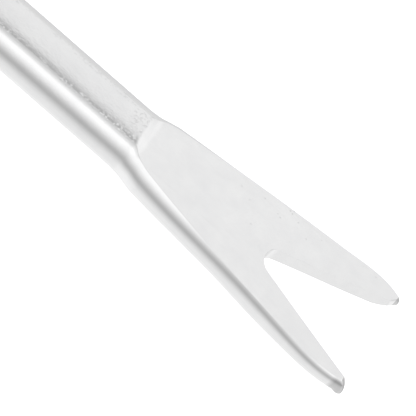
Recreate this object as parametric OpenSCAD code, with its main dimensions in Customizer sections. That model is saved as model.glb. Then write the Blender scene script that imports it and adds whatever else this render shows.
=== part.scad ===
// Double-ended metal spudger: a forked pushing blade and a flat spade blade,
// both pressed from round steel bar, set in one insulated hexagonal handle.
// Millimetres. +X points to the fork, +Z up. The tool lies on one handle facet,
// and the origin is on the bench under the middle of the handle.

/* [Overall] */
// Length from the spade's edge to the fork's tips
overall_l = 160; // [145:1:190]
// Length of the hexagonal part of the handle
handle_l = 76; // [66:1:90]
// Size of the handle across its flats
handle_af = 10; // [9:0.5:12]
// Radius along the handle's six edges
handle_edge_r = 1.2; // [0.5:0.1:2]

/* [Bar] */
// Width of the pressed bar, across its round sides
bar_w = 4.0; // [3.4:0.1:4.8]
// Thickness of the pressed bar, between its two flats
bar_t = 2.1; // [1.7:0.1:2.4]
// Length of each bar's tang inside the handle, measured from the hexagon's end
tang_l = 22; // [16:1:26]

/* [Fork] */
// Length of the fork from the foot of its shoulder to its tips
fork_l = 15.1; // [13:0.1:17]
// Widest size across the two tines
fork_w = 8.0; // [7.6:0.1:9.6]
// Distance of the widest place behind the tips
fork_wide_back = 2.4; // [1.8:0.1:2.6]
// Thickness of the tines at their tips
tine_t = 0.78; // [0.5:0.02:1]
// Radius of each tine's nose
nose_r = 0.34; // [0.25:0.01:0.4]
// Radius of each tine's outer curve, from the widest place to the nose
tine_curve_r = 6; // [5:0.5:8]
// Sideways set of the pressed fork from the bar's middle
fork_offset = 0.1; // [0:0.01:0.15]

/* [Notch] */
// Angle between the notch's two walls
notch_a = 40.7; // [36:0.1:44]
// Lean of the notch's middle line, towards +Y
notch_lean = 3.3; // [0:0.1:4]
// Radius of the notch's root
notch_r = 0.92; // [0.6:0.01:1]
// Depth of the notch, from the tips to the root
notch_depth = 7.2; // [6:0.1:7.4]
// Sideways place of the root's centre
notch_root_y = -0.46; // [-0.5:0.01:0]

/* [Spade] */
// Length of the spade from the foot of its shoulder to its edge
spade_l = 17; // [14:0.5:20]
// Width of the spade at its edge
spade_w = 6.4; // [5:0.1:7.5]
// Thickness of the spade at its edge
spade_edge_t = 0.5; // [0.3:0.02:0.8]
// Radius of the spade's two corners
spade_corner_r = 1.5; // [0.5:0.1:2]

/* [Shoulders] */
// Step down from the bar's flat to the blade's face
shoulder_drop = 0.2; // [0.1:0.01:0.25]
// Length of the sloping shoulder
shoulder_run = 0.58; // [0.4:0.01:0.8]
// Step out of each round side at the top of the shoulder
side_step = 0.03; // [0.02:0.01:0.1]
// Small step at the top of the shoulder, square to the flat
shoulder_lip = 0.03; // [0.02:0.01:0.06]
// How quickly a blade thins past its shoulder: 1 is a plain wedge
thinning = 1.7; // [1:0.1:2]

/* [Handle details] */
// Length of the plain middle of the handle
middle_l = 24; // [16:1:30]
// Wall of the soft grip sleeves
grip_wall = 1.2; // [1:0.1:1.4]
// Distance from one grip groove to the next
groove_pitch = 2.6; // [2:0.1:4]
// Width of a grip groove
groove_w = 1.1; // [0.6:0.1:1.3]
// Depth of a grip groove
groove_d = 0.5; // [0.3:0.05:0.7]
// Depth of the shallow rings cut in the handle's middle, at its flats
ring_d = 0.35; // [0.2:0.05:0.5]
// Distance from one ring to the next
ring_pitch = 1.6; // [1.4:0.1:2.2]
// Number of rings at each end of the middle
ring_count = 3; // [1:1:4]

/* [Ferrules and pins] */
// Length of a ferrule
ferrule_l = 9; // [7:0.5:11]
// Wall of a ferrule where it grips the handle's nose
ferrule_wall = 0.9; // [0.6:0.1:1.1]
// Thickness of the ferrule's closed end round the bar
ferrule_end_t = 1.8; // [1:0.1:2.5]
// Length of the ferrule's cone, at its closed end
ferrule_cone_l = 2.9; // [2:0.1:4]
// How much smaller in radius the cone is at its end
ferrule_cone_drop = 1.0; // [0.5:0.1:1.3]
// Length of the rim that stops the grip sleeve
rim_l = 1.2; // [0.8:0.1:1.6]
// Height of that rim over the handle's core
rim_h = 0.45; // [0.3:0.05:0.6]
// Bevel on the ferrule's turned edges
turned_bevel = 0.2; // [0.1:0.05:0.3]
// Step in radius from the handle's core down to its nose
nose_step = 0.6; // [0.5:0.05:0.8]
// Diameter of the pin that holds each tang
pin_d = 1.6; // [1.2:0.1:1.8]
// Room left round each tang, pin and nose
fit = 0.04; // [0.02:0.01:0.08]

/* [Hidden] */
$fn = 64;

bar_z = handle_af / 2;
bar_r = bar_t / 2;
core_af = handle_af - 2 * grip_wall;
nose_d = core_af - 2 * nose_step;
nose_l = ferrule_l - ferrule_end_t;
rim_r = core_af / 2 + rim_h;
pin_x = handle_l / 2 - tang_l / 2;
tang_end_x = handle_l / 2 - tang_l;
grip_l = (handle_l - middle_l) / 2;
groove_count = floor((grip_l - 2 * groove_pitch) / groove_pitch) + 1;
profile_steps = 16;
arc_steps = 8;
over = 1;

// Points on an arc about centre c, from angle a0 to a1
function arc(c, r, a0, a1) =
    [for (i = [0:arc_steps]) let (a = a0 + (a1 - a0) * i / arc_steps) c + r * [cos(a), sin(a)]];

// The same outline on the -Y side, in the order that closes the polygon
function other_side(points) =
    [for (i = [len(points) - 1:-1:0]) [points[i].x, -points[i].y]];

// Half thickness of a blade at distance x from its shoulder's foot
function blade_half(x, l, edge_t) =
    edge_t / 2 + (bar_r - shoulder_drop - edge_t / 2) * pow(1 - x / l, thinning);

// Cross-section shapes, drawn with X as the tool's Y and Y as its Z
module bar_section(room = 0) {
    square([bar_w - bar_t, bar_t + 2 * room], center = true);
    for (side = [-1, 1])
        translate([side * (bar_w - bar_t) / 2, 0])
            circle(r = bar_r + room);
}

module hex_section(af, edge_r) {
    corner = (af / 2 - edge_r) / cos(30);
    polygon([for (k = [0:5], i = [-2:2])
        let (a = 60 * k + 15 * i)
        corner * [cos(60 * k), sin(60 * k)] + edge_r * [cos(a), sin(a)]]);
}

// Sweeps a cross-section along +X, from x0 to x1
module along_x(x0, x1) {
    translate([x0, 0, bar_z])
        rotate([90, 0, 90])
            linear_extrude(x1 - x0)
                children();
}

// Turned shapes about the tool's long axis; X of the outline is radius, Y is place along the tool
module turned() {
    translate([0, 0, bar_z])
        rotate([0, 90, 0])
            rotate_extrude()
                children();
}

module spade_side() {
    mirror([1, 0, 0])
        children();
}

// Blades, drawn with the shoulder's foot at x = 0 and the middle of the bar at z = 0

// Side view of a blade: a sloping shoulder, then a wedge that thins to its edge
module thickness_profile(l, edge_t) {
    top = concat(
        [[-shoulder_run, bar_r - shoulder_lip]],
        [for (i = [0:profile_steps]) let (x = l * i / profile_steps) [x, blade_half(x, l, edge_t)]],
        [[l + over, edge_t / 2]]);
    rotate([90, 0, 0])
        linear_extrude(4 * bar_w, center = true)
            polygon(concat(top, other_side(top)));
}

// A bar that widens evenly from the shoulder on, with the bar's own round sides
module flared_bar(wide_x, wide_half) {
    side_line = [-shoulder_run, bar_w / 2 + side_step - bar_r];
    flare = atan((wide_half - bar_r - side_line.y) / (wide_x - side_line.x));
    back = side_line - over * [cos(flare), sin(flare)];
    reach = 2 * wide_x;
    front = back + reach * [cos(flare), sin(flare)];
    edge = [back, front];
    linear_extrude(bar_t - 2 * shoulder_lip, center = true)
        polygon(concat(edge, other_side(edge)));
    for (side = [-1, 1])
        translate([back.x, side * back.y, 0])
            rotate([0, 0, side * flare])
                rotate([0, 90, 0])
                    cylinder(r = bar_r, h = reach);
}

// A pressed blade: a flared bar cut to its thickness and to the outline given as children
module pressed_blade(l, wide_x, wide_half, edge_t) {
    intersection() {
        flared_bar(wide_x, wide_half);
        thickness_profile(l, edge_t);
        linear_extrude(2 * bar_t, center = true)
            children();
    }
}

// The bar behind a blade, from the end of its tang to its shoulder
module blade_bar(shoulder_x) {
    difference() {
        along_x(tang_end_x, shoulder_x - shoulder_run)
            bar_section();
        translate([pin_x, 0, bar_z])
            cylinder(d = pin_d + 2 * fit, h = 2 * bar_t, center = true);
    }
}

module fork_outline() {
    wide_x = fork_l - fork_wide_back;
    curve_c = [wide_x, fork_w / 2 - tine_curve_r];
    nose_x = fork_l - nose_r;
    meet_a = acos((nose_x - wide_x) / (tine_curve_r - nose_r));
    nose_c = curve_c + (tine_curve_r - nose_r) * [cos(meet_a), sin(meet_a)];
    edge = concat(
        [[-4 * over, fork_w / 2]],
        arc(curve_c, tine_curve_r, 90, meet_a),
        arc(nose_c, nose_r, meet_a, -90));
    polygon(concat(edge, other_side(edge)));
}

// V notch with a round root; its walls are tangent to the root
module notch() {
    half = notch_a / 2;
    wall_l = 2 * notch_depth;
    foot = notch_r * [-sin(half), cos(half)];
    edge = [foot, foot + wall_l * [cos(half), sin(half)]];
    translate([fork_l - notch_depth + notch_r, notch_root_y, 0])
        rotate([0, 0, notch_lean])
            linear_extrude(2 * bar_t, center = true) {
                circle(r = notch_r);
                polygon(concat(edge, other_side(edge)));
            }
}

module spade_outline() {
    corner_c = [spade_l - spade_corner_r, spade_w / 2 - spade_corner_r];
    edge = concat([[-4 * over, spade_w / 2]], arc(corner_c, spade_corner_r, 90, 0));
    polygon(concat(edge, other_side(edge)));
}

module fork_blade() {
    shoulder_x = overall_l / 2 - fork_l;
    color("silver") {
        blade_bar(shoulder_x);
        translate([shoulder_x, fork_offset, bar_z])
            difference() {
                pressed_blade(fork_l, fork_l - fork_wide_back, fork_w / 2, tine_t)
                    fork_outline();
                notch();
            }
    }
}

module spade_blade() {
    shoulder_x = overall_l / 2 - spade_l;
    color("silver")
        spade_side() {
            blade_bar(shoulder_x);
            translate([shoulder_x, 0, bar_z])
                pressed_blade(spade_l, spade_l, spade_w / 2, spade_edge_t)
                    spade_outline();
        }
}

// Handle: a plain middle, a thinner core under each grip and a round nose for each ferrule
module handle_body() {
    color("midnightblue")
        difference() {
            union() {
                along_x(-middle_l / 2, middle_l / 2)
                    hex_section(handle_af, handle_edge_r);
                along_x(-handle_l / 2, handle_l / 2)
                    hex_section(core_af, handle_edge_r * core_af / handle_af);
                along_x(-handle_l / 2 - nose_l, handle_l / 2 + nose_l)
                    circle(d = nose_d);
            }
            middle_rings();
            for (turn = [0, 180])
                rotate([0, 0, turn]) {
                    along_x(tang_end_x - fit, handle_l / 2 + nose_l + over)
                        bar_section(fit);
                    translate([pin_x, 0, bar_z])
                        cylinder(d = pin_d + 2 * fit, h = 2 * handle_af, center = true);
                }
        }
}

// Shallow round grooves cut across the handle's edges near each end of its middle
module middle_rings() {
    corner_r = handle_af / 2 / cos(30);
    groove_r = corner_r - handle_af / 2 + ring_d;
    for (side = [-1, 1], k = [1:ring_count])
        turned()
            translate([corner_r, side * (middle_l / 2 - (k + 0.4) * ring_pitch)])
                circle(r = groove_r);
}

module grip_sleeve() {
    groove_x0 = middle_l / 2 + (grip_l - (groove_count - 1) * groove_pitch) / 2;
    difference() {
        along_x(middle_l / 2, handle_l / 2)
            hex_section(handle_af, handle_edge_r);
        along_x(middle_l / 2 - over, handle_l / 2 + over)
            hex_section(core_af, handle_edge_r * core_af / handle_af);
        for (k = [0:groove_count - 1])
            grip_groove(groove_x0 + k * groove_pitch);
    }
}

module grip_groove(x) {
    difference() {
        along_x(x - groove_w / 2, x + groove_w / 2)
            hex_section(handle_af + 2 * over, handle_edge_r);
        along_x(x - groove_w, x + groove_w)
            hex_section(handle_af - 2 * groove_d, handle_edge_r);
    }
}

module fork_grip_sleeve() {
    color("dimgray")
        grip_sleeve();
}

module spade_grip_sleeve() {
    color("dimgray")
        spade_side()
            grip_sleeve();
}

// Ferrule: a rim that stops the grip, a straight barrel and a cone closed round the bar
module ferrule() {
    x0 = handle_l / 2;
    x1 = x0 + ferrule_l;
    floor_x = x0 + nose_l + fit;
    bore_r = nose_d / 2 + fit;
    barrel_r = nose_d / 2 + ferrule_wall;
    cone_r = barrel_r - ferrule_cone_drop;
    difference() {
        turned()
            polygon([
                [bore_r, x0],
                [rim_r - turned_bevel, x0],
                [rim_r, x0 + turned_bevel],
                [rim_r, x0 + rim_l - turned_bevel],
                [rim_r - turned_bevel, x0 + rim_l],
                [barrel_r, x0 + rim_l],
                [barrel_r, x1 - ferrule_cone_l],
                [cone_r, x1 - turned_bevel],
                [cone_r - turned_bevel, x1],
                [0, x1],
                [0, floor_x],
                [bore_r, floor_x]
            ]);
        along_x(x1 - 2 * ferrule_end_t, x1 + over)
            bar_section(fit);
    }
}

module fork_ferrule() {
    color("lightgray")
        ferrule();
}

module spade_ferrule() {
    color("lightgray")
        spade_side()
            ferrule();
}

// Pin through the handle's core and the tang, hidden under the grip
module tang_pin() {
    translate([pin_x, 0, bar_z])
        cylinder(d = pin_d, h = core_af - 2 * fit, center = true);
}

module fork_tang_pin() {
    color("gray")
        tang_pin();
}

module spade_tang_pin() {
    color("gray")
        spade_side()
            tang_pin();
}

fork_blade();
spade_blade();
handle_body();
fork_grip_sleeve();
spade_grip_sleeve();
fork_ferrule();
spade_ferrule();
fork_tang_pin();
spade_tang_pin();
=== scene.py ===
# Looks of the double-ended spudger: finish of every piece, floor, light and camera.
from math import atan2, cos, pi, radians, sin, tan

import bpy
import numpy as np
from mathutils import Matrix, Vector
from mathutils.geometry import delaunay_2d_cdt


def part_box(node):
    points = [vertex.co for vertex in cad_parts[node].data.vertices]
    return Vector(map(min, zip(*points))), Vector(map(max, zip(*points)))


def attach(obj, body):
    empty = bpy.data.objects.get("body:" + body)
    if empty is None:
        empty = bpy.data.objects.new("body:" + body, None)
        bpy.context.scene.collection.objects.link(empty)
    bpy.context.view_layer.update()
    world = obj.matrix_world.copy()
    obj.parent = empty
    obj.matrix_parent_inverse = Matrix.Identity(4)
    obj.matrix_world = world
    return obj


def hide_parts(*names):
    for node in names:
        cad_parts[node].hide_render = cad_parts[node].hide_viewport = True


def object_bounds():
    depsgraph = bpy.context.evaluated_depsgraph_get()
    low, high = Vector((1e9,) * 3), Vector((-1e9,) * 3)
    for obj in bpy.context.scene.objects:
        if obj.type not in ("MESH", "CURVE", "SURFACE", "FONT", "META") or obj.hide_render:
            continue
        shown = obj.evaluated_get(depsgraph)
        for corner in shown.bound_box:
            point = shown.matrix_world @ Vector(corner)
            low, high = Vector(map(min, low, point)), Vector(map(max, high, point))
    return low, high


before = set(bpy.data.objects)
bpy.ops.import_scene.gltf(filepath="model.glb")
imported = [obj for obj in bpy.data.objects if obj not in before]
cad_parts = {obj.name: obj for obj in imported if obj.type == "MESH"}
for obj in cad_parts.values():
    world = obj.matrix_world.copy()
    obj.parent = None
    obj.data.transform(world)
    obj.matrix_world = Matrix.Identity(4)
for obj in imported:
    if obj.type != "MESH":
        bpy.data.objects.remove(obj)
cad_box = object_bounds()
MM = 0.001


# ---------------------------------------------------------------- sizes, in millimetres

def node_box(name):
    """Lowest and highest corners of a CAD node, in millimetres."""
    low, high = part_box(name)
    return np.array(low) / MM, np.array(high) / MM


FORK_LOW, FORK_HIGH = node_box("fork_blade")
SPADE_LOW, SPADE_HIGH = node_box("spade_blade")
PIN_LOW, PIN_HIGH = node_box("fork_tang_pin")

# The pressed bar
BAR_Z = (FORK_LOW[2] + FORK_HIGH[2]) / 2
BAR_HALF_T = (FORK_HIGH[2] - FORK_LOW[2]) / 2
BAR_HALF_W = 2.0
BAR_SOFT = 0.3                    # radius between its flats and its round sides
CROWN_SLOPE = radians(4.7)        # tilt of its crowned flats at their edges
BAR_EDGE_TURN = radians(6)        # tilt where its round sides begin
FIT = 0.04
PIN_HOLE_R = (PIN_HIGH[0] - PIN_LOW[0]) / 2 + FIT

# The shoulder, where the bar steps down to the blade
SHOULDER_RUN = 0.58
SHOULDER_FOOT = 0.91              # half thickness at its foot
SOFT_FOOT = 0.35                  # share of the run that its soft foot takes
EDGE_BLEND = (-0.2, 0.65)         # in -x, where the soft edge goes from the blade's to the bar's
SIDE_BLEND = (-1.3, 0.9)          # where the side swings out from the bar to the blade
SIDE_PATH = (-1.5, 1.0)           # the stretch that is drawn with close points

# The flared blade and its round sides
THINNING = 1.7
FLARE_STEP = 0.64
FLARE_BOW = 0.4
TURN_AT_FOOT = radians(24)        # tilt where the round side begins, and how it changes
TURN_RISE = radians(26)
TURN_RISE_RUN = (1, 8)
TURN_DROP = radians(11)
TURN_DROP_RUN = (9, 14)
EDGE_SOFT = 0.05                  # radius between the face and the round side
CRISPER = 0.6                     # share of it that is lost over CRISPER_RUN
CRISPER_RUN = (5, 9)
WALL_SOFT = 0.025                 # the same on the notch's walls

# The fork
FORK_L = 15.1
FORK_TIP_X = 14.68
FORK_CURVE_X = 10.8               # where the tines' outer sides start to curve in
FORK_HALF_W = 4.0
FORK_OFFSET = 0.1
FORK_OFFSET_RUN = (0, 9)
TINE_T = 0.78
NOSE_R = 0.1
FAR_NOSE_CUT = (0.26, 0.4)        # from the inner corner to the outer one
FAR_NOSE_START = radians(66)
NEAR_NOSE_CUT = (0.0, 0.12)
NEAR_NOSE_START = radians(74)
NEAR_NOSE_LEAN = radians(24)
NEAR_DEPTH = 0.32                 # share that the near tine is deeper below
NEAR_DEPTH_RUN = (6, 10)
NEAR_DEPTH_ACROSS = (0, 1.5)
FAR_LIFT = 0.38                   # share that the far side of the notch's root is thinner below
FAR_LIFT_RUN = (5, 8.5)
FAR_LIFT_ACROSS = (-0.6, 0.4)
FAR_LIFT_FADES = 0.7
FAR_LIFT_FADE_RUN = (8.5, 13)
FAR_RELIEF = 1.3                  # how steeply the far tine's end is thinned from below
FAR_RELIEF_START = 13.7
FAR_RELIEF_ACROSS = (0, 0.1)
NOTCH_DEPTH = 7.2
NOTCH_ANGLE = radians(40.7)
NOTCH_LEAN = radians(3.3)
NOTCH_R = 0.92
NOTCH_ROOT_Y = -0.46

# The spade
SPADE_L = 17.0
SPADE_W = SPADE_HIGH[1] - SPADE_LOW[1]
SPADE_SIDE_ROUND = 0.2            # how far its round side stands out past its face
SPADE_EDGE_T = 0.5
SPADE_CORNER_R = 1.5
SPADE_CORNER_START = radians(88)
EDGE_CLEAR = 0.01

# How closely the points lie
SOFT_STEPS = 4
SIDE_STEPS = 12
SHOULDER_STEPS = 40
CURVE_STEPS = 24
GRID = 0.3
BAR_STEP = 0.9
NOSE_STEP = 0.03
ROOT_STEP = 0.08
CORNER_STEP = 0.1
HOLE_STEP = 0.2
SLOPE_STEP = 0.1


# ---------------------------------------------------------------- blade surfaces

def ease(value, start, end):
    """0 before start, 1 after end, smooth between."""
    t = min(max((value - start) / (end - start), 0.0), 1.0)
    return t * t * (3 - 2 * t)


class Blade:
    """A pressed blade: x runs from its shoulder's foot to its edge, z from its middle plane."""

    def __init__(self, length, edge_t, tang_l, edge_half_w):
        self.length = length
        self.edge_half = edge_t / 2
        self.tang_l = tang_l
        self.edge_half_w = edge_half_w
        self.bar_edge_z = BAR_HALF_T * cos(BAR_EDGE_TURN)
        self.bar_edge_y = BAR_HALF_W - self.bulge_at(-2 * SHOULDER_RUN)
        self.crown = tan(CROWN_SLOPE) / (3 * self.bar_edge_y ** 2)

    def shoulder(self, x):
        """1 on the bar, 0 on the blade: a crisp crest, an even slope and a soft foot."""
        t = min(max(-x / SHOULDER_RUN, 0.0), 1.0)
        rise = t * t / (2 * SOFT_FOOT) if t < SOFT_FOOT else t - SOFT_FOOT / 2
        return rise / (1 - SOFT_FOOT / 2)

    def edge_height(self, x):
        """Half thickness where the face meets the round side."""
        reach = min(max(x / self.length, 0.0), 1.0)
        thin = self.edge_half + (SHOULDER_FOOT - self.edge_half) * (1 - reach) ** THINNING
        return thin + (self.bar_edge_z - thin) * self.shoulder(x)

    def half_width(self, x):
        """Half width of the face past the shoulder."""
        foot = self.bar_edge_y + FLARE_STEP
        slope = (self.edge_half_w - foot) / self.length
        return foot + slope * x * (1 + FLARE_BOW - FLARE_BOW * x / self.length)

    def flare_at(self, x):
        """Slope of the face's side."""
        return (self.half_width(x + SLOPE_STEP) - self.half_width(x)) / SLOPE_STEP

    def crown_at(self, x):
        """How strongly the face is crowned."""
        return self.crown * self.shoulder(x)

    def face_height(self, x, y):
        """Height of the face: the bar's flats are slightly crowned, the blade's are plane."""
        return self.edge_height(x) + self.crown_at(x) * (self.bar_edge_y ** 3 - abs(y) ** 3)

    def under_height(self, x, y):
        """Depth of the lower face, which is like the upper one."""
        return self.face_height(x, y)

    def turn_at(self, x):
        """Tilt of the round side where it leaves the face."""
        past = TURN_AT_FOOT + TURN_RISE * ease(x, *TURN_RISE_RUN) - TURN_DROP * ease(x, *TURN_DROP_RUN)
        return past + (BAR_EDGE_TURN - past) * ease(-x, *EDGE_BLEND)

    def soft_at(self, x):
        """Radius of the soft edge between the face and the round side."""
        blade_soft = EDGE_SOFT * (1 - CRISPER * ease(x, *CRISPER_RUN))
        return blade_soft + (BAR_SOFT - blade_soft) * ease(-x, *EDGE_BLEND)

    def side_radius(self, x):
        """Radius of the round side: the soft edge and the round side share a tangent."""
        start = CROWN_SLOPE * self.shoulder(x)
        turn = self.turn_at(x)
        soft = self.soft_at(x)
        return soft + (self.edge_height(x) - soft * cos(start)) / cos(turn)

    def bulge_at(self, x):
        """How far the round side stands out past the face's edge."""
        start = CROWN_SLOPE * self.shoulder(x)
        soft = self.soft_at(x)
        radius = self.side_radius(x)
        return radius - (radius - soft) * sin(self.turn_at(x)) - soft * sin(start)

    def round_profile(self, x):
        """Upper half of a round side as (outward offset from the face's edge, height, tilt)."""
        start = CROWN_SLOPE * self.shoulder(x)
        turn = self.turn_at(x)
        soft = self.soft_at(x)
        radius = self.side_radius(x)
        soft_z = self.edge_height(x) - soft * cos(start)
        back = self.bulge_at(x) - radius
        points = []
        for k in range(SOFT_STEPS + 1):
            tilt = start + (turn - start) * k / SOFT_STEPS
            points.append((back + (radius - soft) * sin(turn) + soft * sin(tilt),
                           soft_z + soft * cos(tilt), tilt))
        for k in range(1, SIDE_STEPS + 1):
            tilt = turn + (pi / 2 - turn) * k / SIDE_STEPS
            points.append((back + radius * sin(tilt), radius * cos(tilt), tilt))
        return points

    def wall_profile(self, x):
        """Upper half of a straight cut wall."""
        soft = WALL_SOFT
        height = self.edge_height(x)
        points = []
        for k in range(SOFT_STEPS + 1):
            tilt = pi / 2 * k / SOFT_STEPS
            points.append((soft * sin(tilt), height - soft * (1 - cos(tilt)), tilt))
        for k in range(1, SIDE_STEPS + 1):
            points.append((soft, (height - soft) * (1 - k / SIDE_STEPS), pi / 2))
        return points

    def side_profile(self, x, y, round_side, lean):
        """Side of the blade from top face to bottom face; round_side is 1 round, 0 straight."""
        half = [tuple(round_side * a + (1 - round_side) * b for a, b in zip(one, other))
                for one, other in zip(self.round_profile(x), self.wall_profile(x))]
        height = self.edge_height(x)
        under = self.under_height(x, y) / self.face_height(x, y)
        lower = [(offset, -z * under, pi - tilt) for offset, z, tilt in reversed(half[:-1])]
        return [(offset + (height - z) * tan(lean), z, tilt - lean * sin(tilt))
                for offset, z, tilt in half + lower]


class ForkBlade(Blade):
    """The +Y tine is thinned from below at its tip; the -Y tine is deeper below."""

    def under_height(self, x, y):
        near = NEAR_DEPTH * ease(x, *NEAR_DEPTH_RUN) * ease(-y, *NEAR_DEPTH_ACROSS)
        fade = 1 - FAR_LIFT_FADES * ease(x, *FAR_LIFT_FADE_RUN)
        far = FAR_LIFT * ease(x, *FAR_LIFT_RUN) * fade * ease(y, *FAR_LIFT_ACROSS)
        relief = FAR_RELIEF * ease(x, FAR_RELIEF_START, self.length) * ease(y, *FAR_RELIEF_ACROSS)
        return self.face_height(x, y) * (1 + near - far) * (1 - relief)


def arc_points(centre, radius, start, end, step):
    """Points on an arc with outward normals, or inward normals for a negative radius."""
    count = max(3, int(abs(end - start) * abs(radius) / step))
    sign = 1 if radius > 0 else -1
    points = []
    for k in range(count + 1):
        angle = start + (end - start) * k / count
        points.append((centre[0] + abs(radius) * cos(angle), centre[1] + abs(radius) * sin(angle),
                       sign * cos(angle), sign * sin(angle)))
    return points


def curve_points(path, count):
    """Points along path(t), t from 0 to 1, with normals to the left of the way it runs."""
    points = []
    for k in range(count + 1):
        t = k / count
        x, y = path(t)
        ahead, behind = path(t + 0.001), path(t - 0.001)
        way = Vector((ahead[0] - behind[0], ahead[1] - behind[1])).normalized()
        points.append((x, y, -way.y, way.x))
    return points


def hermite(p0, way0, p1, way1):
    """Smooth path between two points that leaves along way0 and arrives along way1."""
    p0, p1 = Vector(p0), Vector(p1)
    length = (p1 - p0).length
    m0, m1 = Vector(way0).normalized() * length, Vector(way1).normalized() * length

    def path(t):
        t2, t3 = t * t, t * t * t
        point = ((2 * t3 - 3 * t2 + 1) * p0 + (t3 - 2 * t2 + t) * m0
                 + (3 * t2 - 2 * t3) * p1 + (t3 - t2) * m1)
        return point.x, point.y
    return path


def line_path(start, end):
    return lambda t: (start[0] + (end[0] - start[0]) * t, start[1] + (end[1] - start[1]) * t)


def bar_side(blade, end_x):
    """Edge of the upper face on the +Y side, from the tang's end to end_x."""
    start_x, foot_x = SIDE_PATH
    bar = curve_points(line_path((-blade.tang_l, blade.bar_edge_y), (start_x, blade.bar_edge_y)),
                       int((blade.tang_l + start_x) / BAR_STEP))

    def shoulder_path(t):
        x = start_x + (foot_x - start_x) * t
        flared = blade.half_width(x) + blade.bulge_at(max(x, SIDE_BLEND[1]))
        side_y = BAR_HALF_W + (flared - BAR_HALF_W) * ease(x, *SIDE_BLEND)
        return x, side_y - blade.bulge_at(x)

    def flare_path(t):
        x = foot_x + (end_x - foot_x) * t
        return x, blade.half_width(x)

    shoulder = curve_points(shoulder_path, SHOULDER_STEPS)[1:]
    flare = curve_points(flare_path, int((end_x - foot_x) / GRID))[1:]
    outline = []
    for x, y, nx, ny in bar + shoulder + flare:
        slope = blade.flare_at(x) * (1 - blade.shoulder(x))
        outline.append((x, y, *Vector((-slope, 1)).normalized()))
    return outline


def tine_nose(sign, root, wall):
    """Cut end of a tine: two small arcs, from its outer side to the notch's wall."""
    cut = NEAR_NOSE_CUT if sign < 0 else FAR_NOSE_CUT
    start = NEAR_NOSE_START if sign < 0 else FAR_NOSE_START
    inner_x = FORK_TIP_X - NOSE_R - cut[0]
    inner = (inner_x, root[1] + (inner_x - root[0]) * tan(wall) + NOSE_R / cos(wall))
    outer = (inner[0] + cut[0], inner[1] + cut[1])
    cut_turn = -atan2(cut[0], cut[1])
    arcs = arc_points(outer, NOSE_R, start, cut_turn, NOSE_STEP)
    arcs += arc_points(inner, NOSE_R, cut_turn, -pi / 2 + wall, NOSE_STEP)
    full_lean = NEAR_NOSE_LEAN if sign < 0 else 0.0
    nose = []
    for k, (x, y, nx, ny) in enumerate(arcs):
        t = k / (len(arcs) - 1)
        round_side = 1 - ease(t, 0.2, 1)
        lean = full_lean * ease(t, 0, 0.5) * (1 - ease(t, 0.6, 1))
        nose.append((x, y, nx, ny, round_side, lean))
    return nose


def tine(blade, sign, root_c):
    """One tine's outline from the tang's end to the notch's root, with (round side, lean)."""
    side = [(x, y, nx, ny, 1.0, 0.0) for x, y, nx, ny in bar_side(blade, FORK_CURVE_X)]
    wall = NOTCH_ANGLE / 2 + sign * NOTCH_LEAN
    inward = (sin(wall), -cos(wall))
    root = (root_c[0] - NOTCH_R * inward[0], sign * root_c[1] - NOTCH_R * inward[1])
    nose = tine_nose(sign, root, wall)
    meet_x, meet_y, out_x, out_y = nose[0][:4]
    curve = hermite(side[-1][:2], (1, blade.flare_at(FORK_CURVE_X)), (meet_x, meet_y), (out_y, -out_x))
    side += [(x, y, nx, ny, 1.0, 0.0) for x, y, nx, ny in curve_points(curve, CURVE_STEPS)[1:-1]]
    side += nose
    wall_count = int((nose[-1][0] - root[0]) / GRID)
    wall_line = curve_points(line_path(nose[-1][:2], root), wall_count)[1:]
    side += [(x, y, *inward, 0.0, 0.0) for x, y, nx, ny in wall_line]
    return [(x, sign * y, nx, sign * ny, r, lean) for x, y, nx, ny, r, lean in side]


def fork_loops(blade):
    """Outline of the fork's face as (x, y, normal x, normal y, round side, lean)."""
    root_c = (FORK_L - NOTCH_DEPTH + NOTCH_R, NOTCH_ROOT_Y)
    far = tine(blade, 1, root_c)
    near = tine(blade, -1, root_c)
    start = atan2(far[-1][1] - root_c[1], far[-1][0] - root_c[0])
    end = atan2(near[-1][1] - root_c[1], near[-1][0] - root_c[0]) + 2 * pi
    root = [point + (0.0, 0.0) for point in arc_points(root_c, -NOTCH_R, start, end, ROOT_STEP)]
    outline = far + root[1:-1] + near[::-1]
    return [[(x, y + FORK_OFFSET * ease(x, *FORK_OFFSET_RUN), *rest) for x, y, *rest in outline]]


def spade_loops(blade):
    """Outline of the spade's face: flared sides, round corners and a straight edge."""
    corner_x = SPADE_L - EDGE_CLEAR - blade.bulge_at(SPADE_L) - SPADE_CORNER_R
    side = bar_side(blade, corner_x)
    corner_c = (corner_x, side[-1][1] - SPADE_CORNER_R)
    side += arc_points(corner_c, SPADE_CORNER_R, SPADE_CORNER_START, 0, CORNER_STEP)[1:]
    side = [(x, y, nx, ny, 1.0, 0.0) for x, y, nx, ny in side]
    end = side[-1]
    edge = curve_points(line_path(end[:2], (end[0], -end[1])), int(2 * end[1] / GRID))[1:-1]
    edge = [(x, y, 1.0, 0.0, 1.0, 0.0) for x, y, nx, ny in edge]
    return [side + edge + [(x, -y, nx, -ny, r, lean) for x, y, nx, ny, r, lean in side[::-1]]]


def pin_hole(x):
    """Round hole through the tang for its cross pin."""
    circle = arc_points((x, 0), -PIN_HOLE_R, 0, 2 * pi, HOLE_STEP)[:-1]
    return [point + (0.0, 0.0) for point in circle]


def inside(points, loops):
    """Even-odd test of 2-D points against closed loops."""
    points = np.asarray(points)
    result = np.zeros(len(points), dtype=bool)
    for loop in loops:
        a = np.asarray(loop)
        b = np.roll(a, -1, axis=0)
        for (ax, ay), (bx, by) in zip(a, b):
            if ay == by:
                continue
            crosses = (ay > points[:, 1]) != (by > points[:, 1])
            at_x = ax + (points[:, 1] - ay) * (bx - ax) / (by - ay)
            result ^= crosses & (points[:, 0] < at_x)
    return result


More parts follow.
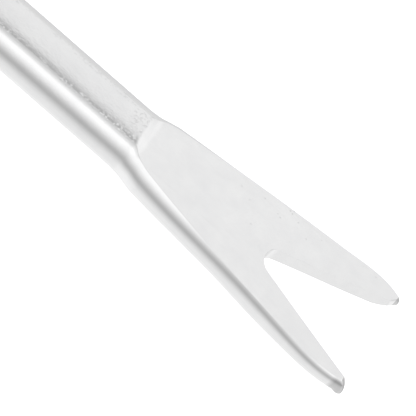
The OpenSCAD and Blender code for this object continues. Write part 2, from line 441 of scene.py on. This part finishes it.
def face_lines(blade):
    """Where the face's rows of points lie: close at the shoulder, wide along the bar."""
    bar = np.arange(0.5 - blade.tang_l, -1.2, BAR_STEP)
    shoulder = [-0.8, -0.66, -SHOULDER_RUN, -0.5, -0.4, -0.3, -0.2, -0.1, 0.0, 0.1, 0.2]
    return [*bar, *shoulder, *np.arange(0.4, blade.length, GRID)]


def inner_points(loops, lines_x):
    """Points inside a face's edges, kept clear of them."""
    edge = np.concatenate([np.asarray(loop) for loop in loops])
    row_step = 0.7 * GRID
    rows = np.arange(edge[:, 1].min(), edge[:, 1].max(), row_step)
    grid = np.array([(x, y + k % 2 * row_step / 2) for k, x in enumerate(lines_x) for y in rows])
    grid = grid[inside(grid, loops)]
    near = np.array([np.min(np.hypot(*(edge - p).T)) for p in grid])
    return [tuple(p) for p in grid[near > 0.3 * GRID]]


def fill_face(loops, lines_x):
    """Triangles over a face: all its 2-D points, the edges' points first, and the triangles."""
    points, edges = [], []
    for loop in loops:
        first = len(points)
        points += loop
        edges += [(first + k, first + (k + 1) % len(loop)) for k in range(len(loop))]
    points += inner_points(loops, lines_x)
    made = delaunay_2d_cdt([Vector(p) for p in points], edges, [], 0, 1e-7)
    if len(made[0]) != len(points):
        raise RuntimeError("a blade's face has meeting points")
    centres = [tuple(sum(points[v][axis] for v in face) / 3 for axis in (0, 1)) for face in made[2]]
    return points, [face for face, used in zip(made[2], inside(centres, loops)) if used]


class Shell:
    """Vertices, their normals and faces of a blade, as they are collected."""

    def __init__(self, blade):
        self.blade = blade
        self.verts, self.normals, self.faces = [], [], []

    def add(self, point, normal):
        self.verts.append(point)
        self.normals.append(Vector(normal).normalized())
        return len(self.verts) - 1

    def face_point(self, x, y, sign):
        """A point on the upper (1) or lower (-1) face, with its normal."""
        height = self.blade.face_height if sign > 0 else self.blade.under_height
        step = 0.002
        slope_x = (height(x + step, y) - height(x - step, y)) / (2 * step)
        slope_y = (height(x, y + step) - height(x, y - step)) / (2 * step)
        return (x, y, sign * height(x, y)), (-slope_x, -slope_y, sign)

    def side(self, loop):
        """Strips of faces round one loop; returns the ids of its points, row by row."""
        places, guides = [], []
        for x, y, nx, ny, round_side, lean in loop:
            profile = self.blade.side_profile(x, y, round_side, lean)
            places.append([(x + nx * offset, y + ny * offset, z) for offset, z, tilt in profile])
            guides.append([(nx * sin(tilt), ny * sin(tilt), cos(tilt)) for offset, z, tilt in profile])
        places, guides = np.array(places), np.array(guides)
        along = np.roll(places, -1, axis=0) - np.roll(places, 1, axis=0)
        normals = np.cross(along, np.gradient(places, axis=1))
        normals *= np.sign((normals * guides).sum(axis=2, keepdims=True))
        rows = []
        for spots, leads in zip(places, normals):
            row = [self.add(tuple(spot), lead) for spot, lead in zip(spots, leads)]
            for k, sign in ((0, 1), (-1, -1)):
                point, normal = self.face_point(spots[k][0], spots[k][1], sign)
                self.verts[row[k]], self.normals[row[k]] = point, Vector(normal).normalized()
            rows.append(row)
        for row, after in zip(rows, rows[1:] + rows[:1]):
            for k in range(len(row) - 1):
                self.faces.append((row[k], after[k], after[k + 1], row[k + 1]))
        return rows

    def cap(self, rings, lines_x, sign):
        """The upper or lower face, from the rings of points at its edges."""
        loops = [[self.verts[v][:2] for v in ring] for ring in rings]
        ids = [v for ring in rings for v in ring]
        points, triangles = fill_face(loops, lines_x)
        ids += [self.add(*self.face_point(x, y, sign)) for x, y in points[len(ids):]]
        for a, b, c in triangles:
            self.faces.append((ids[a], ids[b], ids[c]) if sign > 0 else (ids[a], ids[c], ids[b]))


def make_blade(name, node, blade, loops, shoulder_x, turned):
    """A closed blade skin that stands for a CAD blade."""
    place = Matrix.Translation((-shoulder_x if turned else shoulder_x, 0, BAR_Z))
    if turned:
        place = place @ Matrix.Rotation(pi, 4, "Z")
    shell = Shell(blade)
    pin_x = (PIN_LOW[0] + PIN_HIGH[0]) / 2 - shoulder_x
    sides = [shell.side(loop) for loop in loops + [pin_hole(pin_x)]]
    lines_x = face_lines(blade)
    shell.cap([[row[0] for row in rows] for rows in sides], lines_x, 1)
    shell.cap([[row[-1] for row in rows] for rows in sides], lines_x, -1)
    mesh = bpy.data.meshes.new(name)
    mesh.from_pydata([place @ Vector(v) * MM for v in shell.verts], [], shell.faces)
    for polygon in mesh.polygons:
        polygon.use_smooth = True
    mesh.normals_split_custom_set_from_vertices([place.to_3x3() @ n for n in shell.normals])
    piece = bpy.data.objects.new(name, mesh)
    bpy.context.scene.collection.objects.link(piece)
    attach(piece, "root")
    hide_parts(node)
    return piece


# ---------------------------------------------------------------- materials

# Darker-coloured ends of the tines, and the dinged strips beside the middle plane y = 0, in millimetres
NEAR_DARK_RUN = 0.5
FAR_DARK_RUN = 0.05
DARKER_TIP_COLOUR = (0.6, 0.6, 0.6, 1)
DINGS_FROM = (0.75, 0.95)
DINGS_TO = (1.1, 1.2)
CREST_DINGS = (0.6, 1.1)
CREST_X = FORK_HIGH[0] - FORK_L - SHOULDER_RUN
CREST_SOFT = 0.1
# Softness of each material's edges, in metres
HANDLE_EDGE = 0.00025
RUBBER_EDGE = 0.00015
TURNED_EDGE = 0.00012
SHARP_ANGLE = radians(28)


class Nodes:
    """Small helper for wiring a node tree."""

    def __init__(self, tree):
        self.tree = tree

    def add(self, kind, **values):
        node = self.tree.nodes.new(kind)
        for key, value in values.items():
            setattr(node, key, value)
        return node

    def link(self, out_socket, in_socket):
        self.tree.links.new(out_socket, in_socket)


def new_material(name):
    material = bpy.data.materials.new(name)
    material.use_nodes = True
    nodes = Nodes(material.node_tree)
    shader = material.node_tree.nodes["Principled BSDF"]
    return material, nodes, shader


def noise(nodes, coords, scale, detail=3.0, roughness=0.5):
    node = nodes.add("ShaderNodeTexNoise")
    node.inputs["Scale"].default_value = scale
    node.inputs["Detail"].default_value = detail
    node.inputs["Roughness"].default_value = roughness
    nodes.link(coords, node.inputs["Vector"])
    return node.outputs["Fac"]


def map_range(nodes, value, low, high, out_low, out_high):
    node = nodes.add("ShaderNodeMapRange")
    node.inputs["From Min"].default_value = low
    node.inputs["From Max"].default_value = high
    node.inputs["To Min"].default_value = out_low
    node.inputs["To Max"].default_value = out_high
    nodes.link(value, node.inputs["Value"])
    return node.outputs["Result"]


def stretched(nodes, coords, scale):
    node = nodes.add("ShaderNodeMapping")
    node.inputs["Scale"].default_value = scale
    nodes.link(coords, node.inputs["Vector"])
    return node.outputs["Vector"]


def bump(nodes, shader, layers, soft_edge=0):
    """Chains bump nodes: layers are (height socket, distance in metres, strength).

    A soft_edge above 0 also rounds the look of sharp edges by that radius.
    """
    normal = None
    if soft_edge:
        edge = nodes.add("ShaderNodeBevel", samples=6)
        edge.inputs["Radius"].default_value = soft_edge
        normal = edge.outputs["Normal"]
    for height, distance, strength in layers:
        node = nodes.add("ShaderNodeBump")
        node.inputs["Strength"].default_value = strength
        node.inputs["Distance"].default_value = distance
        nodes.link(height, node.inputs["Height"])
        if normal:
            nodes.link(normal, node.inputs["Normal"])
        normal = node.outputs["Normal"]
    nodes.link(normal, shader.inputs["Normal"])


def tinted(nodes, value, dark, light):
    """Colour that runs from dark to light as value runs from 0 to 1."""
    ramp = nodes.add("ShaderNodeValToRGB")
    ramp.color_ramp.elements[0].color = (*dark, 1)
    ramp.color_ramp.elements[1].color = (*light, 1)
    nodes.link(value, ramp.inputs["Fac"])
    return ramp.outputs["Color"]


def maths(nodes, operation, one, other):
    """Result of a math node on a socket and another socket or a number."""
    node = nodes.add("ShaderNodeMath", operation=operation)
    nodes.link(one, node.inputs[0])
    if isinstance(other, (int, float)):
        node.inputs[1].default_value = other
    else:
        nodes.link(other, node.inputs[1])
    return node.outputs[0]


def product(nodes, one, other):
    return maths(nodes, "MULTIPLY", one, other)


def axes(nodes, vector):
    """The X, Y and Z sockets of a vector."""
    node = nodes.add("ShaderNodeSeparateXYZ")
    nodes.link(vector, node.inputs[0])
    return node.outputs


def pits(nodes, coords, scale, size, patches, patch_from):
    """1 in small scattered spots, which gather where a larger noise is high."""
    cells = nodes.add("ShaderNodeTexVoronoi")
    cells.inputs["Scale"].default_value = scale
    nodes.link(coords, cells.inputs["Vector"])
    spot = map_range(nodes, cells.outputs["Distance"], size, 0.4 * size, 0, 1)
    patch = map_range(nodes, noise(nodes, coords, patches, 2.0), patch_from, patch_from + 0.05, 0, 1)
    return product(nodes, spot, patch)


def scratches(nodes, coords, along, scale, share):
    """Fine lines that run along x, kept where the noise is highest."""
    lines = noise(nodes, stretched(nodes, coords, (along, 1, 1)), scale, 2.0, 0.6)
    return map_range(nodes, lines, share, share + 0.06, 0, 1)


def object_coords(nodes):
    return nodes.add("ShaderNodeTexCoord").outputs["Object"]


def darker_tip_ends(nodes, coords):
    """1 where the chrome is coloured darker: the end of the -Y tine and the very point of the other."""
    tip = (FORK_HIGH[0] - FORK_L + FORK_TIP_X) * MM
    place = axes(nodes, coords)
    end = map_range(nodes, place["X"], tip - NEAR_DARK_RUN * MM, tip - 0.5 * NEAR_DARK_RUN * MM, 0, 1)
    near = map_range(nodes, place["Y"], 0, -MM, 0, 1)
    facing = axes(nodes, nodes.add("ShaderNodeNewGeometry").outputs["Normal"])
    side = map_range(nodes, facing["Z"], 0.9, 0.6, 0, 1)
    point = map_range(nodes, place["X"], tip - FAR_DARK_RUN * MM, tip - 0.5 * FAR_DARK_RUN * MM, 0, 1)
    return maths(nodes, "MAXIMUM", product(nodes, product(nodes, end, near), side), point)


def on_bar(nodes, coords):
    """1 on the fork's bar and everything behind it, 0 on its flared blade."""
    return map_range(nodes, axes(nodes, coords)["X"], CREST_X * MM, (CREST_X - CREST_SOFT) * MM, 0, 1)


def dinged_edges(nodes, coords):
    """1 along the edges of the bar's flats and just behind the fork's shoulder."""
    place = axes(nodes, coords)
    across = maths(nodes, "ABSOLUTE", place["Y"], 0)
    edge = map_range(nodes, across, DINGS_FROM[0] * MM, DINGS_FROM[1] * MM, 0, 1)
    side = map_range(nodes, across, DINGS_TO[1] * MM, DINGS_TO[0] * MM, 0, 1)
    far, close = (CREST_X - CREST_DINGS[1]) * MM, (CREST_X - CREST_DINGS[0]) * MM
    crest = map_range(nodes, place["X"], far, close, 0, 1)
    either = maths(nodes, "MAXIMUM", product(nodes, edge, side), product(nodes, crest, side))
    return product(nodes, either, on_bar(nodes, coords))


def chrome_material():
    material, nodes, shader = new_material("polished_chrome")
    coords = object_coords(nodes)
    shader.inputs["Metallic"].default_value = 1.0
    cloud = map_range(nodes, noise(nodes, coords, 900.0, 4.0, 0.65), 0.3, 0.7, 0, 1)
    plated = tinted(nodes, cloud, (0.84, 0.84, 0.845), (0.88, 0.88, 0.88))
    # Darker base colour at the end of the -Y tine and at the far tine's point
    darkened_tips_and_scratches = nodes.add("ShaderNodeMix", data_type="RGBA")
    nodes.link(darker_tip_ends(nodes, coords), darkened_tips_and_scratches.inputs["Factor"])
    nodes.link(plated, darkened_tips_and_scratches.inputs["A"])
    darkened_tips_and_scratches.inputs["B"].default_value = DARKER_TIP_COLOUR
    nodes.link(darkened_tips_and_scratches.outputs["Result"], shader.inputs["Base Color"])
    smudge = noise(nodes, coords, 350.0, 2.0)
    nodes.link(map_range(nodes, smudge, 0.3, 0.7, 0.06, 0.12), shader.inputs["Roughness"])
    ripple = noise(nodes, stretched(nodes, coords, (0.5, 1, 1)), 900.0, 2.0)
    grain = noise(nodes, coords, 9000.0, 2.0)
    mottle = product(nodes, noise(nodes, coords, 5200.0, 3.0, 0.6), on_bar(nodes, coords))
    nicks = pits(nodes, coords, 2600.0, 0.13, 260.0, 0.6)
    chips = map_range(nodes, noise(nodes, coords, 6500.0, 3.0, 0.6), 0.56, 0.66, 0, 1)
    patches = map_range(nodes, noise(nodes, coords, 600.0, 2.0), 0.42, 0.54, 0.15, 1)
    dinged = product(nodes, product(nodes, chips, patches), dinged_edges(nodes, coords))
    scuffs = scratches(nodes, coords, 0.06, 3500.0, 0.66)
    bump(nodes, shader, [(ripple, 0.000005, 0.4), (grain, 0.0000006, 0.4),
                         (mottle, 0.000004, 1.0), (nicks, -0.00001, 0.6),
                         (dinged, -0.000012, 1.0), (scuffs, -0.0000012, 0.4)])
    return material


def handle_material():
    material, nodes, shader = new_material("handle_plastic")
    coords = object_coords(nodes)
    cloud = map_range(nodes, noise(nodes, coords, 130.0, 5.0, 0.6), 0.3, 0.7, 0, 1)
    nodes.link(tinted(nodes, cloud, (0.016, 0.05, 0.14), (0.03, 0.085, 0.215)), shader.inputs["Base Color"])
    darkened_tips_and_scratches = scratches(nodes, coords, 0.05, 1400.0, 0.64)
    smudge = noise(nodes, coords, 90.0, 3.0)
    nodes.link(map_range(nodes, smudge, 0.3, 0.7, 0.24, 0.46), shader.inputs["Roughness"])
    grain = noise(nodes, coords, 4500.0, 2.0)
    sink = noise(nodes, stretched(nodes, coords, (0.3, 1, 1)), 120.0, 2.0)
    dents = pits(nodes, coords, 500.0, 0.12, 110.0, 0.6)
    bump(nodes, shader, [(sink, 0.00005, 0.4), (grain, 0.000006, 0.5),
                         (darkened_tips_and_scratches, -0.000006, 0.5), (dents, -0.00004, 0.6)], HANDLE_EDGE)
    return material


def rubber_material():
    material, nodes, shader = new_material("grip_rubber")
    coords = object_coords(nodes)
    dust = map_range(nodes, noise(nodes, coords, 240.0, 6.0, 0.7), 0.4, 0.75, 0, 1)
    nodes.link(tinted(nodes, dust, (0.018, 0.018, 0.02), (0.075, 0.073, 0.07)), shader.inputs["Base Color"])
    shine = noise(nodes, coords, 110.0, 3.0)
    nodes.link(map_range(nodes, shine, 0.3, 0.7, 0.45, 0.75), shader.inputs["Roughness"])
    grain = noise(nodes, coords, 3600.0, 3.0, 0.7)
    lint = pits(nodes, coords, 900.0, 0.1, 200.0, 0.55)
    bump(nodes, shader, [(grain, 0.00002, 0.6), (lint, 0.00002, 0.5)], RUBBER_EDGE)
    return material


def turned_material(name, dark, light, low, high):
    """Lathe-turned steel: fine rings round the x axis, smudges and a few nicks."""
    material, nodes, shader = new_material(name)
    coords = object_coords(nodes)
    shader.inputs["Metallic"].default_value = 1.0
    cloud = map_range(nodes, noise(nodes, coords, 300.0, 4.0), 0.3, 0.7, 0, 1)
    nodes.link(tinted(nodes, cloud, dark, light), shader.inputs["Base Color"])
    smudge = noise(nodes, coords, 260.0, 3.0)
    nodes.link(map_range(nodes, smudge, 0.3, 0.7, low, high), shader.inputs["Roughness"])
    rings = noise(nodes, stretched(nodes, coords, (1, 0.012, 0.012)), 7000.0, 3.0, 0.7)
    nicks = pits(nodes, coords, 1100.0, 0.12, 260.0, 0.56)
    bump(nodes, shader, [(rings, 0.000012, 0.5), (nicks, -0.00002, 0.5)], TURNED_EDGE)
    return material


# ---------------------------------------------------------------- studio

CHROME_REFLECTS = 0.87
END_BOOST = 1.5         # light where x times z is 1, so it grows up towards the fork's end
FLOOR_HALF = 1.5
FLOOR_GAP = 0.00002
FLOOR_GLOW = 0.55
# The studio's soft light: degrees up from the front horizon and over the top, and 8-bit level
STUDIO_LEVELS = [
    (-180, 214), (-150, 207), (-128, 214), (-104, 242), (-64, 232), (-44, 230), (-24, 217), (-4, 191),
    (6, 178), (16, 182), (26, 196), (36, 212), (46, 227), (56, 240), (66, 250), (78, 254),
    (86, 252), (91, 240), (96, 229), (106, 214), (114, 198), (120, 184), (124.5, 174), (127.5, 170),
    (129.5, 188), (131.5, 208), (133.5, 221), (136, 230), (143, 230), (148, 224), (153, 219), (180, 214),
]


def linear(level):
    """Light for an 8-bit display level."""
    level = level / 255
    return level / 12.92 if level < 0.04045 else ((level + 0.055) / 1.055) ** 2.4


def studio_world():
    """Soft studio round the object, and plain white behind it."""
    world = bpy.data.worlds.new("studio")
    bpy.context.scene.world = world
    world.use_nodes = True
    tree = world.node_tree
    tree.nodes.clear()
    nodes = Nodes(tree)
    way = axes(nodes, nodes.add("ShaderNodeTexCoord").outputs["Generated"])
    angle = maths(nodes, "ARCTAN2", way["Z"], product(nodes, way["Y"], -1))
    share = map_range(nodes, angle, -pi, pi, 0, 1)
    ramp = nodes.add("ShaderNodeValToRGB")
    nodes.link(share, ramp.inputs["Fac"])
    elements = ramp.color_ramp.elements
    while len(elements) < len(STUDIO_LEVELS):
        elements.new(0.5)
    for element, (angle_deg, level) in zip(elements, STUDIO_LEVELS):
        element.position = (angle_deg + 180) / 360
        light = linear(level) / CHROME_REFLECTS
        element.color = (light, light, light, 1)
    lean = product(nodes, way["X"], way["Z"])
    camera_ray = nodes.add("ShaderNodeLightPath").outputs["Is Camera Ray"]
    studio = nodes.add("ShaderNodeBackground")
    nodes.link(ramp.outputs["Color"], studio.inputs["Color"])
    nodes.link(map_range(nodes, lean, 0, 1, 1, END_BOOST), studio.inputs["Strength"])
    backdrop = nodes.add("ShaderNodeBackground")
    backdrop.inputs["Color"].default_value = (1, 1, 1, 1)
    backdrop.inputs["Strength"].default_value = 1.0
    mix = nodes.add("ShaderNodeMixShader")
    nodes.link(camera_ray, mix.inputs["Fac"])
    nodes.link(studio.outputs[0], mix.inputs[1])
    nodes.link(backdrop.outputs[0], mix.inputs[2])
    nodes.link(mix.outputs[0], nodes.add("ShaderNodeOutputWorld").inputs["Surface"])


def floor():
    """Plain pale floor just under the object."""
    mesh = bpy.data.meshes.new("floor")
    half = FLOOR_HALF
    corners = [(-half, -half, 0), (half, -half, 0), (half, half, 0), (-half, half, 0)]
    mesh.from_pydata(corners, [], [(0, 1, 2, 3)])
    obj = bpy.data.objects.new("floor", mesh)
    bpy.context.scene.collection.objects.link(obj)
    obj.location.z = cad_box[0][2] - FLOOR_GAP
    material, nodes, shader = new_material("pale_floor")
    shader.inputs["Base Color"].default_value = (0.9, 0.9, 0.9, 1)
    shader.inputs["Roughness"].default_value = 0.9
    shader.inputs["Emission Color"].default_value = (1, 1, 1, 1)
    shader.inputs["Emission Strength"].default_value = FLOOR_GLOW
    mesh.materials.append(material)
    obj.visible_glossy = False


# ---------------------------------------------------------------- camera

CAMERA_AZIMUTH = radians(-8)
CAMERA_ELEVATION = radians(44.2)
CAMERA_ROLL = radians(46.77)
CAMERA_DISTANCE = 0.55
VIEW_WIDTH = 0.02049
# From the fork's shoulder to the point the camera looks at, in millimetres in the picture's plane
AIM_RIGHT = 3.201
AIM_UP = -2.889


def camera():
    """Camera at the viewing angle that was solved from the fork's outline."""
    toward = Vector((sin(CAMERA_AZIMUTH) * cos(CAMERA_ELEVATION),
                     -cos(CAMERA_AZIMUTH) * cos(CAMERA_ELEVATION), sin(CAMERA_ELEVATION)))
    level = Vector((0, 0, 1)).cross(toward).normalized()
    upright = toward.cross(level)
    right = level * cos(CAMERA_ROLL) + upright * sin(CAMERA_ROLL)
    up = upright * cos(CAMERA_ROLL) - level * sin(CAMERA_ROLL)
    shoulder = Vector((FORK_HIGH[0] - FORK_L, 0, BAR_Z))
    aim = (shoulder + right * AIM_RIGHT + up * AIM_UP) * MM
    place = Matrix((right, up, toward)).transposed().to_4x4()
    place.translation = aim + toward * CAMERA_DISTANCE
    data = bpy.data.cameras.new("camera")
    data.sensor_width = 36
    data.lens = data.sensor_width * CAMERA_DISTANCE / VIEW_WIDTH
    data.clip_start = 0.01
    data.clip_end = 100
    obj = bpy.data.objects.new("camera", data)
    obj.matrix_world = place
    bpy.context.scene.collection.objects.link(obj)
    bpy.context.scene.camera = obj
    bpy.context.scene.view_settings.view_transform = "Standard"


# ---------------------------------------------------------------- assembly

def finish_nodes():
    """Finish of the pieces whose shape is kept as it is."""
    rubber = rubber_material()
    ferrule = turned_material("ferrule_steel", (0.5, 0.5, 0.51), (0.66, 0.66, 0.665), 0.16, 0.34)
    pin = turned_material("pin_steel", (0.4, 0.4, 0.41), (0.52, 0.52, 0.525), 0.25, 0.4)
    looks = {
        "handle_body": handle_material(),
        "fork_grip_sleeve": rubber, "spade_grip_sleeve": rubber,
        "fork_ferrule": ferrule, "spade_ferrule": ferrule,
        "fork_tang_pin": pin, "spade_tang_pin": pin,
    }
    for node, material in looks.items():
        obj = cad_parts[node]
        for slot in obj.material_slots:
            slot.material = material
        for polygon in obj.data.polygons:
            polygon.use_smooth = True
        obj.data.set_sharp_from_angle(angle=SHARP_ANGLE)
        even = obj.modifiers.new("even_normals", "WEIGHTED_NORMAL")
        even.keep_sharp = True


def main():
    camera()
    studio_world()
    floor()
    chrome = chrome_material()
    fork_shoulder = FORK_HIGH[0] - FORK_L
    fork = ForkBlade(FORK_L, TINE_T, fork_shoulder - FORK_LOW[0], FORK_HALF_W)
    piece = make_blade("fork_blade_skin", "fork_blade", fork, fork_loops(fork), fork_shoulder, False)
    piece.data.materials.append(chrome)
    spade_shoulder = -SPADE_LOW[0] - SPADE_L
    spade = Blade(SPADE_L, SPADE_EDGE_T, spade_shoulder + SPADE_HIGH[0], SPADE_W / 2 - SPADE_SIDE_ROUND)
    piece = make_blade("spade_blade_skin", "spade_blade", spade, spade_loops(spade), spade_shoulder, True)
    piece.data.materials.append(chrome)
    finish_nodes()


main()
